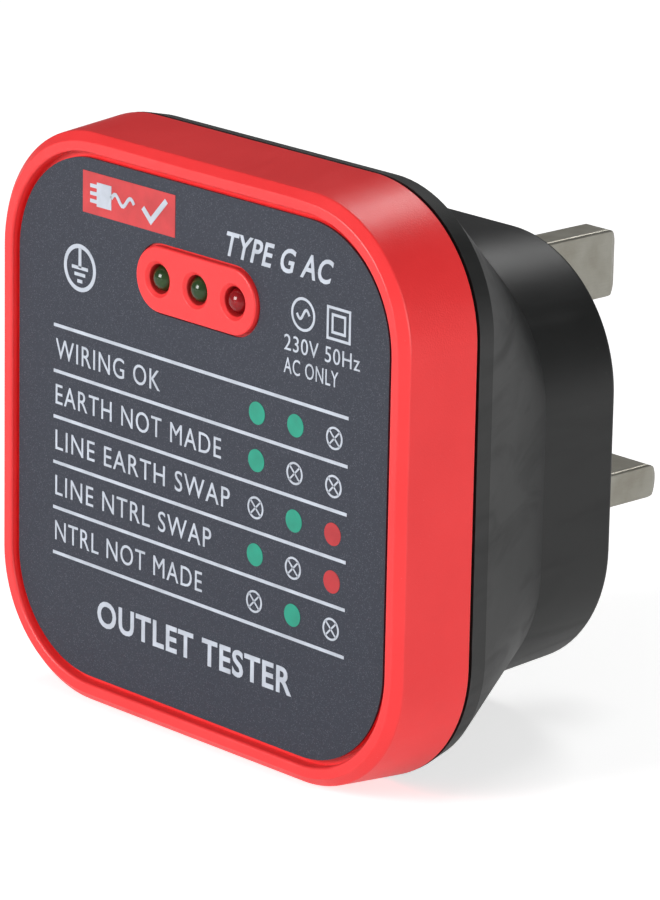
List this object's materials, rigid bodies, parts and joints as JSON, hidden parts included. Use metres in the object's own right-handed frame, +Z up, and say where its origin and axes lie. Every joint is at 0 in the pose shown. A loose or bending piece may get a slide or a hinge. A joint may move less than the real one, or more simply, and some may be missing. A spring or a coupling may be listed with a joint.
{
  "type": "outlet tester plug",
  "caption": "Square red and black socket tester plug with UK pins at the back, a dark label printed with the lamp code, and small lamps in a raised red window",
  "frame": {"origin": "on the flat face that lies against the socket, level with the centre of the square front and midway between the line and neutral pins", "axes": "+X to the right seen from the front, +Y into the wall along the pins, +Z up, with the earth pin at the top"},
  "size_m": [0.0666, 0.0635, 0.0666],
  "materials": {
    "red_plastic": "fine satin moulding",
    "label_film": "printed polycarbonate film, fine sparkle grain",
    "black_plastic": "lightly textured moulding",
    "plated_brass": "nickel-plated brass, satin",
    "sleeve_plastic": "smooth moulding",
    "white_plastic": "natural nylon",
    "screw_steel": "zinc-plated",
    "board": "solder-masked laminate",
    "green_lens": "clear tinted epoxy",
    "red_lens": "clear tinted epoxy",
    "resistor_coat": "lacquer",
    "diode_case": "moulded epoxy",
    "earth_insulation": "PVC",
    "line_insulation": "PVC",
    "neutral_insulation": "PVC",
    "solder": "bright"
  },
  "bodies": {
    "root": {"front_shell": "red_plastic", "front_label": "label_film", "rear_shell": "black_plastic", "earth_pin": "plated_brass", "line_pin": "plated_brass", "neutral_pin": "plated_brass", "line_pin_sleeve": "sleeve_plastic", "neutral_pin_sleeve": "sleeve_plastic", "pin_retainer": "white_plastic", "retainer_screws": "screw_steel", "circuit_board": "board", "board_screws": "screw_steel", "led_green_left": "green_lens", "led_green_middle": "green_lens", "led_red_right": "red_lens", "led_holder": "sleeve_plastic", "resistor_top": "resistor_coat", "resistor_middle": "resistor_coat", "resistor_bottom": "resistor_coat", "diode_top": "diode_case", "diode_middle": "diode_case", "diode_bottom": "diode_case", "earth_wire": "earth_insulation", "line_wire": "line_insulation", "neutral_wire": "neutral_insulation", "solder_joints": "solder", "case_screws": "screw_steel"}
  },
  "joints": []
}
